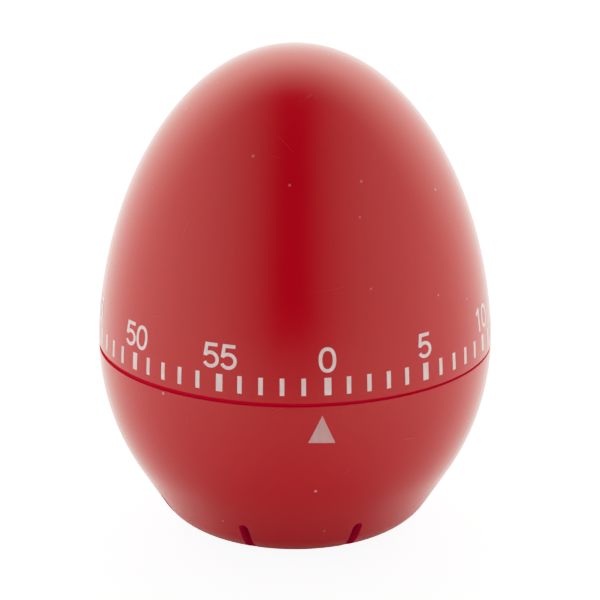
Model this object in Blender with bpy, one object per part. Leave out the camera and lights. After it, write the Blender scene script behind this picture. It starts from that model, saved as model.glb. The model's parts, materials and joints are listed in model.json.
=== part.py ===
"""An egg-shaped sixty-minute kitchen timer with its clockwork.

The origin is the centre of the resting face, +Z is up, and the pointer of the base faces -Y.
Lengths are in millimetres here, and become metres where a mesh is made.
"""

import math

import bmesh
import bpy
from mathutils import Vector
from mathutils.geometry import tessellate_polygon

MM = 0.001

# Egg: the outer form of the two shells.
EGG_RADIUS = 30.0
EGG_HEIGHT = 73.9
PARTING_HEIGHT = 28.45
PARTING_GAP = 0.5
DIAL_SHOULDER = 1.825
DIAL_CROWN = 2.04
BELLY_ARC = 36.3
FLANK_LEAN = 32.0
FOOT_ARC = 7.7
SHELL_STEPS = 40

# Shell walls, the lip that guides the dial, and the hub that carries it.
WALL = 1.9
LIP_BORE = 27.5
LIP_RADIUS = 28.5
LIP_RISE = 2.4
RIM_BORE = 28.9
RIM_RISE = 3.3
HUB_RADIUS = 4.2
HUB_BOTTOM = 31.0
HUB_CORE = 1.3
HUB_CORE_TOP = 68.0

# Sound slots round the foot of the base.
SLOT_COUNT = 8
SLOT_FIRST = 17.4
SLOT_WIDTH = 1.45
SLOT_TOP = 6.2
SLOT_INNER = 17.2

# Movement plates, pillars and the bosses that the top plate is screwed to.
PLATE_RADIUS = 21.5
PLATE_THICKNESS = 0.8
BACK_PLATE = 15.0
TOP_PLATE = 27.0
PILLAR_RADIUS = 1.1
PILLAR_REACH = 20.2
PILLAR_FIRST = 70.0
BOSS_REACH = 24.2
BOSS_RADIUS = 2.4
BOSS_TOP = 26.7
BOSS_FIRST = 10.0
SCREW_SHANK = 0.8
SCREW_HEAD = 1.6
SCREW_DEPTH = 7.0

# Bell under the back plate.
BELL_RADIUS = 18.4
BELL_BOTTOM = 4.6
BELL_RIM = 13.5
BELL_THICKNESS = 0.8
POST_RADIUS = 2.0
POST_FLANGE = 4.5
BELL_SCREW_HEAD = 2.6

# Train: tooth counts, modules and the places of the arbors (reach and bearing from the centre).
MAIN_TEETH = 64
SECOND_TEETH = 56
THIRD_TEETH = 56
LEAVES = 8
MAIN_MODULE = 0.35
SECOND_MODULE = 0.28
THIRD_MODULE = 0.25
WHEEL_FLANK = ((-1.2, 0.56), (0.95, 0.18))
LEAF_FLANK = ((-1.25, 0.30), (0.0, 0.34), (0.55, 0.16))
ESCAPE_TEETH = 15
ESCAPE_RADIUS = 3.6
MAIN_ARBOR_RADIUS = 2.0
MAIN_PIVOT_RADIUS = 1.4
ARBOR_BOTTOM = 13.6
ARBOR_RADIUS = 0.6
PIVOT_RADIUS = 0.4
PIVOT_PLAY = 0.1
SECOND_REACH = MAIN_MODULE * (MAIN_TEETH + LEAVES) / 2
SECOND_BEARING = 90.0
THIRD_REACH = 13.0
ESCAPE_REACH = 15.0
BALANCE_REACH = 15.5
BALANCE_BEARING = -2.6

# Heights of the pieces between the plates.
SPRING_LEVEL = 16.6
SPRING_WIDTH = 5.0
SPRING_TURNS = 6
SPRING_INNER = 3.0
SPRING_OUTER = 9.3
SPRING_THICKNESS = 0.32
MAIN_LEVEL = 22.2
CLUTCH_LEVEL = 23.15
CAM_LEVEL = 23.9
SECOND_LEVEL = 24.0
THIRD_LEVEL = 25.2
ESCAPE_LEVEL = 18.5
BALANCE_LEVEL = 16.6
STRIKE_LEVEL = 18.2
WHEEL_THICKNESS = 0.6

# Above the top plate: the stop finger, its tab and the clip.
FINGER_LEVEL = 28.15
FINGER_REACH = 13.0
FINGER_TIP = 0.6
FINGER_HUB = 3.6
TAB_BEARING = 300.0
TAB_WIDTH = 0.5
TAB_TOP = 29.3
STOP_ALLOWANCE = 0.55
CLIP_LEVEL = 29.4
CLIP_THICKNESS = 0.7
CLIP_RADIUS = 3.4
FLAT_BOTTOM = 28.0
FLAT_DEPTH = 0.6
ARBOR_TOP = 43.0

# Clutch washer: one third of its star outline, one radius every 20 degrees.
WASHER_RADII = (8.0, 8.0, 4.0, 3.6, 3.6, 4.0)

# Alarm lever, cam, hammer and balance.
CAM_RADIUS = 3.9
CAM_NOTCH_RADIUS = 2.6
CAM_NOTCH = (-17.0, 11.0)
LEVER_REACH = 13.0
LEVER_BEARING = 200.0
LEVER_TIP_REACH = 4.5
LEVER_TIP_RADIUS = 0.4
LEVER_NOSE = 1.9
LEVER_CATCH = (-1.9, 13.2)
HAMMER_REACH = 15.5
HAMMER_BEARING = 129.0
HEAD_REACH = 14.9
HEAD_BEARING = 105.0
HEAD_RADIUS = 1.3
CATCH_REACH = 4.0
CATCH_BEARING = 227.0
STRIKE_RADIUS = 2.6
STRIKE_TEETH = 4
BALANCE_RADIUS = 4.2
PALLET_REACH = 2.2
PALLET_SPREAD = 58.0

# Finishes: base colour, roughness and metallic value.
RED_PLASTIC = ((0.37, 0.018, 0.016, 1.0), 0.18, 0.0)
BRASS = ((0.72, 0.50, 0.20, 1.0), 0.30, 1.0)
STEEL = ((0.55, 0.55, 0.56, 1.0), 0.28, 1.0)
SPRING_STEEL = ((0.20, 0.24, 0.32, 1.0), 0.30, 1.0)
ZINC_STEEL = ((0.62, 0.62, 0.60, 1.0), 0.38, 1.0)
BELL_STEEL = ((0.70, 0.69, 0.66, 1.0), 0.16, 1.0)


def polar(reach, bearing):
    """The point at this distance from the centre, with the bearing in degrees from +X."""
    angle = math.radians(bearing)
    return reach * math.cos(angle), reach * math.sin(angle)


def bearing_to(start, end):
    return math.degrees(math.atan2(end[1] - start[1], end[0] - start[0]))


def arc_points(radius, start, end, steps, centre=(0.0, 0.0)):
    """Points of an arc between two angles in degrees, both ends included."""
    for step in range(steps + 1):
        x, y = polar(radius, start + (end - start) * step / steps)
        yield centre[0] + x, centre[1] + y


def circle(radius, centre=(0.0, 0.0), steps=16):
    return list(arc_points(radius, 0, 360, steps, centre))[:-1]


def empty(name, place=(0.0, 0.0)):
    """An empty on the vertical axis through this point: the parent of the pieces that turn on it."""
    axis = bpy.data.objects.new(name, None)
    axis.empty_display_size = 5 * MM
    axis.location = (place[0] * MM, place[1] * MM, 0)
    bpy.context.scene.collection.objects.link(axis)
    return axis


def material(name, finish):
    colour, roughness, metallic = finish
    new = bpy.data.materials.new(name)
    new.use_nodes = True
    shader = new.node_tree.nodes["Principled BSDF"]
    shader.inputs["Base Color"].default_value = colour
    shader.inputs["Roughness"].default_value = roughness
    shader.inputs["Metallic"].default_value = metallic
    return new


def add_object(name, data, finish, parent, height=0.0, turn=0.0):
    """Links the data as an object under its axis, with its own material unless it is a cutter."""
    thing = bpy.data.objects.new(name, data)
    bpy.context.scene.collection.objects.link(thing)
    thing.parent = parent
    thing.location = (0, 0, height * MM)
    thing.rotation_euler = (0, 0, math.radians(turn))
    if finish:
        data.materials.append(material(name + "_finish", finish))
    else:
        thing.hide_render = True
        thing.display_type = "WIRE"
    return thing


def solid(name, mesh, finish, parent, height=0.0, turn=0.0, sharp=32):
    """Closes a bmesh in millimetres into an object in metres."""
    bmesh.ops.scale(mesh, vec=(MM, MM, MM), verts=mesh.verts)
    bmesh.ops.recalc_face_normals(mesh, faces=mesh.faces)
    data = bpy.data.meshes.new(name)
    mesh.to_mesh(data)
    mesh.free()
    data.shade_smooth()
    data.set_sharp_from_angle(angle=math.radians(sharp))
    return add_object(name, data, finish, parent, height, turn)


def turned(name, profile, finish, parent, height=0.0, steps=16):
    """Turns a profile of (radius, height) about the axis: one that ends on the axis, or a closed loop."""
    mesh = bmesh.new()
    points = [mesh.verts.new((radius, 0, level)) for radius, level in profile]
    pairs = list(zip(points, points[1:]))
    if profile[0][0] > 0:
        pairs.append((points[-1], points[0]))
    edges = [mesh.edges.new(pair) for pair in pairs]
    about = {"cent": (0, 0, 0), "axis": (0, 0, 1), "angle": math.tau}
    bmesh.ops.spin(mesh, geom=points + edges, steps=steps, use_merge=True, **about)
    bmesh.ops.remove_doubles(mesh, verts=mesh.verts, dist=1e-4)
    return solid(name, mesh, finish, parent, height)


def shaft(name, steps_up, finish, parent, height, facets=12):
    """A stepped round bar: steps_up holds (radius, length) from the bottom up."""
    profile = [(0.0, 0.0)]
    level = 0.0
    for radius, length in steps_up:
        profile.append((radius, level))
        level += length
        profile.append((radius, level))
    profile.append((0.0, level))
    return turned(name, profile, finish, parent, height, facets)


def sheet(name, outline, thickness, finish, parent, height, holes=()):
    """A flat piece: an outline with holes, extruded upwards."""
    mesh = bmesh.new()
    loops = [[Vector((x, y, 0)) for x, y in loop] for loop in (outline, *holes)]
    corners = [mesh.verts.new(point) for loop in loops for point in loop]
    for triangle in tessellate_polygon(loops):
        mesh.faces.new([corners[index] for index in triangle])
    raised = bmesh.ops.extrude_face_region(mesh, geom=mesh.faces[:])
    top = [item for item in raised["geom"] if isinstance(item, bmesh.types.BMVert)]
    bmesh.ops.translate(mesh, verts=top, vec=(0, 0, thickness))
    return solid(name, mesh, finish, parent, height)


def block(name, low, high, parent=None, turn=0.0):
    """A box that serves as a cutter or is joined on, from its lowest to its highest corner."""
    mesh = bmesh.new()
    bmesh.ops.create_cube(mesh, size=1.0)
    size = Vector(high) - Vector(low)
    bmesh.ops.scale(mesh, vec=size, verts=mesh.verts)
    bmesh.ops.translate(mesh, verts=mesh.verts, vec=Vector(low) + size / 2)
    return solid(name, mesh, None, parent, turn=turn)


def boolean(piece, helper, operation="DIFFERENCE"):
    modifier = piece.modifiers.new(helper.name, "BOOLEAN")
    modifier.operation = operation
    modifier.solver = "EXACT"
    modifier.object = helper


def strap(points, widths):
    """The outline of a flat strip through the points, with a width at each and round ends."""
    path = [Vector(point) for point in points]
    left, right = [], []
    for index, point in enumerate(path):
        before = path[max(index - 1, 0)]
        after = path[min(index + 1, len(path) - 1)]
        run_in = (point - before).normalized() if index else (after - point).normalized()
        run_out = (after - point).normalized() if index < len(path) - 1 else run_in
        along = (run_in + run_out).normalized()
        side = Vector((-along.y, along.x)) * (widths[index] / 2 / along.dot(run_out))
        left.append(point + side)
        right.append(point - side)
    start_bearing = bearing_to(path[1], path[0])
    end_bearing = bearing_to(path[-2], path[-1])
    end_cap = list(arc_points(widths[-1] / 2, end_bearing - 90, end_bearing + 90, 5, path[-1]))
    start_cap = list(arc_points(widths[0] / 2, start_bearing - 90, start_bearing + 90, 5, path[0]))
    middle_right = [tuple(point) for point in right[1:-1]]
    middle_left = [tuple(point) for point in reversed(left[1:-1])]
    return middle_right + end_cap + middle_left + start_cap


def gear_outline(teeth, module, flank, start):
    """Teeth around a wheel, one of them pointing at the start angle. The flank's points run from root
    to tip, each with its height above the pitch line, in modules, and the share of the pitch it fills."""
    pitch = 360 / teeth
    outline = []
    for tooth in range(teeth):
        middle = start + tooth * pitch
        sides = [(module * (teeth / 2 + rise), share * pitch / 2) for rise, share in flank]
        outline += [polar(radius, middle - half) for radius, half in sides]
        outline += [polar(radius, middle + half) for radius, half in reversed(sides)]
    return outline


def wheel_outline(teeth, module, start):
    return gear_outline(teeth, module, WHEEL_FLANK, start)


def pinion_outline(module, start):
    return gear_outline(LEAVES, module, LEAF_FLANK, start)


def spoke_windows(inner, outer, count, spoke, start=0.0, steps=4):
    """The openings between the spokes of a wheel, as rings of points."""
    windows = []
    for index in range(count):
        low = start + index * 360 / count
        high = low + 360 / count
        outer_half = math.degrees(spoke / 2 / outer)
        inner_half = math.degrees(spoke / 2 / inner)
        rim = list(arc_points(outer, low + outer_half, high - outer_half, steps))
        hub = list(arc_points(inner, high - inner_half, low + inner_half, steps))
        windows.append(rim + hub)
    return windows


def dial_profile(inset, steps):
    """The upper form from the parting line to the crown, as (radius, height), inset from the outside."""
    rise = EGG_HEIGHT - PARTING_HEIGHT - inset
    points = []
    for step in range(steps + 1):
        angle = math.radians(90 * step / steps)
        radius = (EGG_RADIUS - inset) * max(math.cos(angle), 0.0) ** (2 / DIAL_CROWN)
        points.append((radius, PARTING_HEIGHT + rise * math.sin(angle) ** (2 / DIAL_SHOULDER)))
    points[-1] = (0.0, EGG_HEIGHT - inset)
    return points


def base_profile(inset, belly_steps, foot_steps):
    """The lower form from the parting line to the foot, as (radius, height), inset from the outside."""
    belly = list(arc_points(BELLY_ARC - inset, 0, -FLANK_LEAN, belly_steps, (EGG_RADIUS - BELLY_ARC, 0)))
    points = [(radius, PARTING_HEIGHT + level) for radius, level in belly]
    fall = 90 - FLANK_LEAN
    foot_rise = FOOT_ARC * (1 - math.cos(math.radians(fall)))
    flank_radius, flank_height = base_belly_end()
    foot_radius = flank_radius - (flank_height - foot_rise) * math.tan(math.radians(FLANK_LEAN))
    flat_radius = foot_radius - FOOT_ARC * math.sin(math.radians(fall))
    foot = arc_points(FOOT_ARC - inset, -90 + fall, -90, foot_steps, (flat_radius, FOOT_ARC))
    return points + list(foot)


def base_belly_end():
    """Where the belly's arc runs into the straight flank, on the outside."""
    lean = math.radians(FLANK_LEAN)
    return EGG_RADIUS - BELLY_ARC + BELLY_ARC * math.cos(lean), PARTING_HEIGHT - BELLY_ARC * math.sin(lean)


def d_shaft_cutter(name, radius, top, parent):
    """The space that the main arbor's flatted end fills in the hub."""
    bottom = HUB_BOTTOM - 2
    profile = [(0, bottom), (radius, bottom), (radius, top), (HUB_CORE, top), (HUB_CORE, HUB_CORE_TOP)]
    cutter = turned(name, profile + [(0, HUB_CORE_TOP)], None, parent, steps=16)
    flat = radius - FLAT_DEPTH
    boolean(cutter, block(name + "_flat", (flat, -4, bottom - 1), (4, 4, top), parent))
    return cutter


def make_dial_shell(parent):
    outer = [(EGG_RADIUS, PARTING_HEIGHT + PARTING_GAP / 2)] + dial_profile(0, 14)[1:]
    inner = [point for point in dial_profile(WALL, 10) if point[0] > HUB_RADIUS + 0.6]
    inner = [point for point in reversed(inner) if point[1] > PARTING_HEIGHT + RIM_RISE]
    hub = [(0, HUB_BOTTOM), (HUB_RADIUS, HUB_BOTTOM), (HUB_RADIUS + 0.5, inner[0][1])]
    step = [(inner[-1][0], PARTING_HEIGHT + RIM_RISE), (RIM_BORE, PARTING_HEIGHT + RIM_RISE)]
    rim = [(RIM_BORE, PARTING_HEIGHT + PARTING_GAP / 2)]
    profile = hub + inner + step + rim + outer
    shell = turned("dial_shell", profile, RED_PLASTIC, parent, steps=SHELL_STEPS)
    cutter = d_shaft_cutter("hub_bore_cutter", MAIN_ARBOR_RADIUS + 0.1, ARBOR_TOP + 0.5, parent)
    boolean(shell, cutter)


def make_base_shell(parent):
    rim = PARTING_HEIGHT - PARTING_GAP / 2
    lip_top = PARTING_HEIGHT + LIP_RISE
    body = base_profile(0, 6, 6)
    body[0] = (EGG_RADIUS, rim)
    top = [(0, lip_top), (LIP_RADIUS, lip_top), (LIP_RADIUS, rim)]
    shell = turned("base_shell", top + body + [(0, 0)], RED_PLASTIC, parent, steps=SHELL_STEPS)

    wall = [point for point in base_profile(WALL, 5, 5) if point[0] < LIP_BORE]
    mouth = [(0, lip_top + 1), (LIP_BORE, lip_top + 1), (LIP_BORE, wall[0][1] + 1)]
    cavity = turned("cavity_cutter", mouth + wall + [(0, WALL)], None, parent, steps=SHELL_STEPS)
    for index in range(3):
        place = polar(BOSS_REACH, BOSS_FIRST + 120 * index)
        axis = empty(f"boss_axis_{index + 1}", place)
        boss = shaft(f"boss_form_{index + 1}", [(BOSS_RADIUS, BOSS_TOP - 2)], None, axis, 2.0, 16)
        boolean(cavity, boss)
        hole = shaft(f"boss_hole_cutter_{index + 1}", [(SCREW_SHANK + 0.1, 10)], None, axis, BOSS_TOP - 8)
        boolean(shell, hole)
    boolean(shell, cavity)
    for index in range(SLOT_COUNT):
        boolean(shell, make_slot_cutter(index, parent))


def make_slot_cutter(index, parent):
    """A blade with a round top that opens one sound slot through the wall."""
    half = SLOT_WIDTH / 2
    outline = [(-half, -1.0), (half, -1.0)] + list(arc_points(half, 0, 180, 6, (0, SLOT_TOP - half)))
    mesh = bmesh.new()
    face = mesh.faces.new([mesh.verts.new((SLOT_INNER, x, y)) for x, y in outline])
    raised = bmesh.ops.extrude_face_region(mesh, geom=[face])
    far = [item for item in raised["geom"] if isinstance(item, bmesh.types.BMVert)]
    bmesh.ops.translate(mesh, verts=far, vec=(EGG_RADIUS - SLOT_INNER, 0, 0))
    bearing = -90 + SLOT_FIRST + index * 360 / SLOT_COUNT
    return solid(f"slot_cutter_{index + 1}", mesh, None, parent, turn=bearing)


def ear_outline():
    """The top plate's round outline with three ears that rest on the bosses."""
    outline = []
    for index in range(3):
        bearing = BOSS_FIRST + 120 * index
        ear = polar(BOSS_REACH, bearing)
        spread = math.degrees(math.asin(BOSS_RADIUS / PLATE_RADIUS))
        outline += arc_points(BOSS_RADIUS, bearing - 90, bearing + 90, 8, ear)
        outline += arc_points(PLATE_RADIUS, bearing + spread, bearing + 120 - spread, 12)
    return outline


def make_frame(parent, pivots):
    """The two plates with their pivot holes, the pillars between them and the screws."""
    pillar_places = [polar(PILLAR_REACH, PILLAR_FIRST + 120 * index) for index in range(3)]
    rivet = PILLAR_RADIUS - 0.4
    holes = [circle(radius + PIVOT_PLAY, place, 12) for place, radius in pivots]
    holes += [circle(rivet + 0.1, place, 12) for place in pillar_places]
    centre = [circle(MAIN_PIVOT_RADIUS + PIVOT_PLAY)]
    disc = circle(PLATE_RADIUS, steps=40)
    sheet("back_plate", disc, PLATE_THICKNESS, ZINC_STEEL, parent, BACK_PLATE, holes + centre)
    ears = [circle(SCREW_SHANK + 0.3, polar(BOSS_REACH, BOSS_FIRST + 120 * index), 12) for index in range(3)]
    centre = [circle(MAIN_ARBOR_RADIUS + PIVOT_PLAY)]
    openings = holes + ears + centre
    plate = sheet("top_plate", ear_outline(), PLATE_THICKNESS, ZINC_STEEL, parent, TOP_PLATE, openings)
    half = TAB_WIDTH / 2
    low = (FINGER_REACH - 1.5, -half, TOP_PLATE + PLATE_THICKNESS / 2)
    tab = block("stop_tab_form", low, (FINGER_REACH + 0.5, half, TAB_TOP), parent, TAB_BEARING)
    boolean(plate, tab, "UNION")
    gap = TOP_PLATE - BACK_PLATE - PLATE_THICKNESS - 0.2
    for index, place in enumerate(pillar_places):
        axis = empty(f"pillar_axis_{index + 1}", place)
        lengths = [(rivet, 0.9), (PILLAR_RADIUS, gap), (rivet, 0.9)]
        shaft(f"pillar_{index + 1}", lengths, STEEL, axis, BACK_PLATE)
        axis = empty(f"screw_axis_{index + 1}", polar(BOSS_REACH, BOSS_FIRST + 120 * index))
        lengths = [(SCREW_SHANK, SCREW_DEPTH + 1.2), (SCREW_HEAD, 1.1)]
        bottom = TOP_PLATE + PLATE_THICKNESS - SCREW_DEPTH - 1.1
        screw = shaft(f"plate_screw_{index + 1}", lengths, STEEL, axis, bottom)
        level = bottom + SCREW_DEPTH + 1.8
        boolean(screw, block(f"screw_slot_cutter_{index + 1}", (-2, -0.2, level), (2, 0.2, level + 2), axis))


def make_bell(parent):
    """A cup that opens upwards, on a post under the back plate, with its screw."""
    def shell(inset, start, end):
        points = []
        for step in range(9):
            angle = math.radians(start + (end - start) * step / 8)
            depth = BELL_RIM - BELL_BOTTOM - inset
            points.append(((BELL_RADIUS - inset) * math.sin(angle), BELL_RIM - depth * math.cos(angle)))
        return points

    outside = shell(0, 90, 4)
    inside = shell(BELL_THICKNESS, 4, 90)
    turned("bell", outside + inside, BELL_STEEL, parent, steps=32)

    flange = BACK_PLATE - 0.2
    seat = BELL_BOTTOM + BELL_THICKNESS + 0.15
    thread = SCREW_SHANK + 0.1
    socket = MAIN_PIVOT_RADIUS + 0.2
    profile = [
        (socket, flange), (socket, flange - 2.2), (thread, flange - 2.2), (thread, seat),
        (POST_RADIUS, seat), (POST_RADIUS, flange - 0.8), (POST_FLANGE, flange - 0.8), (POST_FLANGE, flange),
    ]
    turned("bell_post", profile, STEEL, parent)
    lengths = [(BELL_SCREW_HEAD, 1.1), (SCREW_SHANK, 7.0)]
    screw = shaft("bell_screw", lengths, STEEL, parent, BELL_BOTTOM - 1.2)
    boolean(screw, block("bell_screw_slot_cutter", (-3, -0.3, 0), (3, 0.3, BELL_BOTTOM - 0.7), parent))


def make_main_arbor(axis, hook):
    """The winding arbor with everything that turns with the dial, and the mainspring round it."""
    shoulder = BACK_PLATE + PLATE_THICKNESS + 0.2
    lengths = [(MAIN_PIVOT_RADIUS, shoulder - ARBOR_BOTTOM), (MAIN_ARBOR_RADIUS, ARBOR_TOP - shoulder)]
    arbor = shaft("main_arbor", lengths, STEEL, axis, ARBOR_BOTTOM, 16)
    flat = MAIN_ARBOR_RADIUS - FLAT_DEPTH
    boolean(arbor, block("arbor_flat_cutter", (flat, -4, FLAT_BOTTOM), (4, 4, ARBOR_TOP + 1), axis))

    make_mainspring(axis, hook)
    bore = circle(MAIN_ARBOR_RADIUS + 0.1)
    fingers = [polar(radius, step * 20) for step, radius in enumerate(WASHER_RADII * 3)]
    sheet("clutch_washer", fingers, 0.4, SPRING_STEEL, axis, CLUTCH_LEVEL, [bore])
    sheet("alarm_cam", cam_outline(), 0.8, BRASS, axis, CAM_LEVEL, [bore])
    make_stop_finger(axis)
    clip = list(arc_points(CLIP_RADIUS, 35, 325, 14)) + list(arc_points(MAIN_ARBOR_RADIUS + 0.1, 325, 35, 14))
    sheet("arbor_clip", clip, CLIP_THICKNESS, SPRING_STEEL, axis, CLIP_LEVEL)


def cam_outline():
    """A disc with one notch, which stands under the alarm lever when the time is up."""
    tip = lever_tip_bearing()
    first, last = CAM_NOTCH
    rim = list(arc_points(CAM_RADIUS, tip + last, tip + 360 + first, 28))
    return rim + list(arc_points(CAM_NOTCH_RADIUS, tip + first, tip + last, 3))


def make_stop_finger(axis):
    """A finger keyed to the arbor's flat, which meets the plate's tab at each end of the dial's travel."""
    half = math.degrees((FINGER_TIP + TAB_WIDTH) / 2 / (FINGER_REACH - 0.5))
    bearing = TAB_BEARING - half - STOP_ALLOWANCE
    reach = polar(FINGER_REACH - FINGER_TIP / 2, bearing)
    outline = list(arc_points(FINGER_HUB, bearing + 8, bearing + 352, 20))
    outline += arc_points(FINGER_TIP / 2, bearing - 90, bearing + 90, 5, reach)
    cut = math.degrees(math.acos((MAIN_ARBOR_RADIUS - FLAT_DEPTH + 0.1) / (MAIN_ARBOR_RADIUS + 0.1)))
    bore = list(arc_points(MAIN_ARBOR_RADIUS + 0.1, cut, 360 - cut, 14))
    sheet("stop_finger", outline, 0.8, BRASS, axis, FINGER_LEVEL, [bore])


def make_mainspring(axis, hook):
    """A flat spiral strip from the arbor out to a hook round a pillar."""
    half = SPRING_THICKNESS / 2
    end = bearing_to((0, 0), hook) - 62
    centre_line = []
    steps = SPRING_TURNS * 20
    for step in range(steps + 1):
        share = step / steps
        radius = SPRING_INNER + (SPRING_OUTER - SPRING_INNER) * share
        centre_line.append(Vector(polar(radius, end - 360 * SPRING_TURNS * (1 - share))))
    wrap = PILLAR_RADIUS + 0.2 + half
    centre_line += [Vector(point) for point in arc_points(wrap, end + 6, end + 216, 7, hook)]
    start = Vector(polar(MAIN_ARBOR_RADIUS + 0.2 + half, end))
    centre_line[0] = start.lerp(centre_line[1], 0.35)
    left, right = [], []
    for index, point in enumerate(centre_line):
        before = centre_line[max(index - 1, 0)]
        after = centre_line[min(index + 1, len(centre_line) - 1)]
        along = (after - before).normalized()
        left.append(point + Vector((-along.y, along.x)) * half)
        right.append(point - Vector((-along.y, along.x)) * half)
    outline = [tuple(point) for point in right + left[::-1]]
    sheet("mainspring", outline, SPRING_WIDTH, SPRING_STEEL, axis, SPRING_LEVEL)


def wheel(name, outline, axis, level, bore, rim, thickness=WHEEL_THICKNESS, hub=None, spokes=4):
    """A toothed brass wheel with spokes, on its arbor."""
    windows = spoke_windows(hub or bore + 1.2, rim, spokes, 1.1)
    sheet(name, outline, thickness, BRASS, axis, level, [circle(bore)] + windows)


def pinion(name, outline, axis, level, length):
    """An arbor with pinion leaves cut on it, from the back plate to the top plate."""
    bottom = BACK_PLATE - 0.1
    top = TOP_PLATE + PLATE_THICKNESS + 0.1
    shoulder = PLATE_THICKNESS + 0.3
    pivot = (PIVOT_RADIUS, shoulder)
    lengths = [pivot, (ARBOR_RADIUS, top - bottom - 2 * shoulder), pivot]
    arbor = shaft(name, lengths, STEEL, axis, bottom)
    leaves = sheet(name + "_leaves_form", outline, length, None, axis, level)
    boolean(arbor, leaves, "UNION")


def make_train(main, second, third, escape):
    """The wheels and pinions, each pair turned so that its teeth are in mesh."""
    second_place, third_place, escape_place = (place_of(axis) for axis in (second, third, escape))
    half_leaf = 180 / LEAVES

    toward = bearing_to((0, 0), second_place)
    outline = wheel_outline(MAIN_TEETH, MAIN_MODULE, toward)
    wheel("main_wheel", outline, main, MAIN_LEVEL, MAIN_ARBOR_RADIUS + 0.1, 9.6, 0.8, hub=4.6, spokes=3)
    outline = pinion_outline(MAIN_MODULE, toward + 180 + half_leaf)
    pinion("second_pinion", outline, second, MAIN_LEVEL - 0.3, SECOND_LEVEL - MAIN_LEVEL + 0.2)

    toward = bearing_to(second_place, third_place)
    outline = wheel_outline(SECOND_TEETH, SECOND_MODULE, toward)
    wheel("second_wheel", outline, second, SECOND_LEVEL, ARBOR_RADIUS + 0.05, 6.5)
    outline = pinion_outline(SECOND_MODULE, toward + 180 + half_leaf)
    pinion("third_pinion", outline, third, SECOND_LEVEL - 0.3, THIRD_LEVEL - SECOND_LEVEL + 0.2)

    toward = bearing_to(third_place, escape_place)
    outline = wheel_outline(THIRD_TEETH, THIRD_MODULE, toward)
    wheel("third_wheel", outline, third, THIRD_LEVEL, ARBOR_RADIUS + 0.05, 5.8)
    outline = pinion_outline(THIRD_MODULE, toward + 180 + half_leaf)
    pinion("escape_pinion", outline, escape, THIRD_LEVEL - 0.3, WHEEL_THICKNESS + 0.6)

    outline = saw_outline(ESCAPE_TEETH, ESCAPE_RADIUS, 0.8)
    wheel("escape_wheel", outline, escape, ESCAPE_LEVEL, ARBOR_RADIUS + 0.05, 2.3, hub=1.2, spokes=3)
    outline = saw_outline(STRIKE_TEETH, STRIKE_RADIUS, 0.9)
    sheet("strike_wheel", outline, 0.8, STEEL, second, STRIKE_LEVEL, [circle(ARBOR_RADIUS + 0.05)])


def saw_outline(teeth, tip_radius, depth):
    """Pointed teeth with one steep flank each."""
    pitch = 360 / teeth
    outline = []
    for tooth in range(teeth):
        start = tooth * pitch
        outline.append(polar(tip_radius, start))
        outline.append(polar(tip_radius, start + pitch * 0.10))
        outline.append(polar(tip_radius - depth, start + pitch * 0.45))
        outline.append(polar(tip_radius - depth, start + pitch * 0.90))
    return outline


def make_balance(axis, escape_place):
    """The rocking wheel that lets the escape wheel through, with its two pallet pins."""
    bottom = BACK_PLATE - 0.1
    shoulder = PLATE_THICKNESS + 0.3
    length = TOP_PLATE + PLATE_THICKNESS + 0.1 - bottom - 2 * shoulder
    lengths = [(0.3, shoulder), (0.5, length), (0.3, shoulder)]
    shaft("balance_staff", lengths, STEEL, axis, bottom)
    toward = bearing_to(place_of(axis), escape_place)
    pins = [polar(PALLET_REACH, toward + side * PALLET_SPREAD) for side in (1, -1)]
    hub = [circle(0.55, steps=12)] + [circle(0.32, pin, 8) for pin in pins]
    windows = spoke_windows(2.75, 3.5, 3, 1.0, toward + 180)
    sheet("balance_wheel", circle(BALANCE_RADIUS, steps=32), 0.8, BRASS, axis, BALANCE_LEVEL, hub + windows)
    for index, pin in enumerate(pins):
        place = place_of(axis)
        pin_axis = empty(f"pallet_pin_axis_{index + 1}", (place[0] + pin[0], place[1] + pin[1]))
        shaft(f"pallet_pin_{index + 1}", [(0.25, 2.7)], STEEL, pin_axis, BALANCE_LEVEL + 0.05, 8)


def make_hammer(axis, strike_place):
    """The hammer under the back plate, with the tail that the strike wheel lifts and its catch."""
    place = place_of(axis)
    bottom = BACK_PLATE - 1.1
    lengths = [(ARBOR_RADIUS, TOP_PLATE - 0.3 - bottom), (PIVOT_RADIUS, PLATE_THICKNESS + 0.4)]
    shaft("hammer_arbor", lengths, STEEL, axis, bottom)
    bore = circle(ARBOR_RADIUS + 0.05, steps=12)

    span = math.dist(place, strike_place) - STRIKE_RADIUS - 0.75
    tip = polar(span, bearing_to(place, strike_place))
    sheet("hammer_tail", strap([(0, 0), tip], [2.6, 0.8]), 0.8, STEEL, axis, STRIKE_LEVEL, [bore])
    catch = polar(CATCH_REACH, CATCH_BEARING)
    sheet("hammer_catch", strap([(0, 0), catch], [2.4, 0.9]), 0.6, STEEL, axis, SECOND_LEVEL, [bore])

    head = polar(HEAD_REACH, HEAD_BEARING)
    offset = (head[0] - place[0], head[1] - place[1])
    rivet = circle(0.6, offset, 12)
    arm = strap([(0, 0), offset], [2.6, 2.2])
    sheet("hammer_arm", arm, 0.6, STEEL, axis, BACK_PLATE - 1.0, [bore, rivet])
    head_axis = empty("hammer_head_axis", head)
    shaft("hammer_head", [(HEAD_RADIUS, 1.9), (0.5, 0.9)], BRASS, head_axis, BACK_PLATE - 3.0, 16)
    torsion_spring("hammer_spring", axis, 20.0, ARBOR_RADIUS + 0.5, (250, 150))


def lever_tip_bearing():
    """Where the lever's tip meets the cam, seen from the centre: the lever stands at right angles to it."""
    return LEVER_BEARING + math.degrees(math.acos(LEVER_TIP_REACH / LEVER_REACH))


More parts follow.
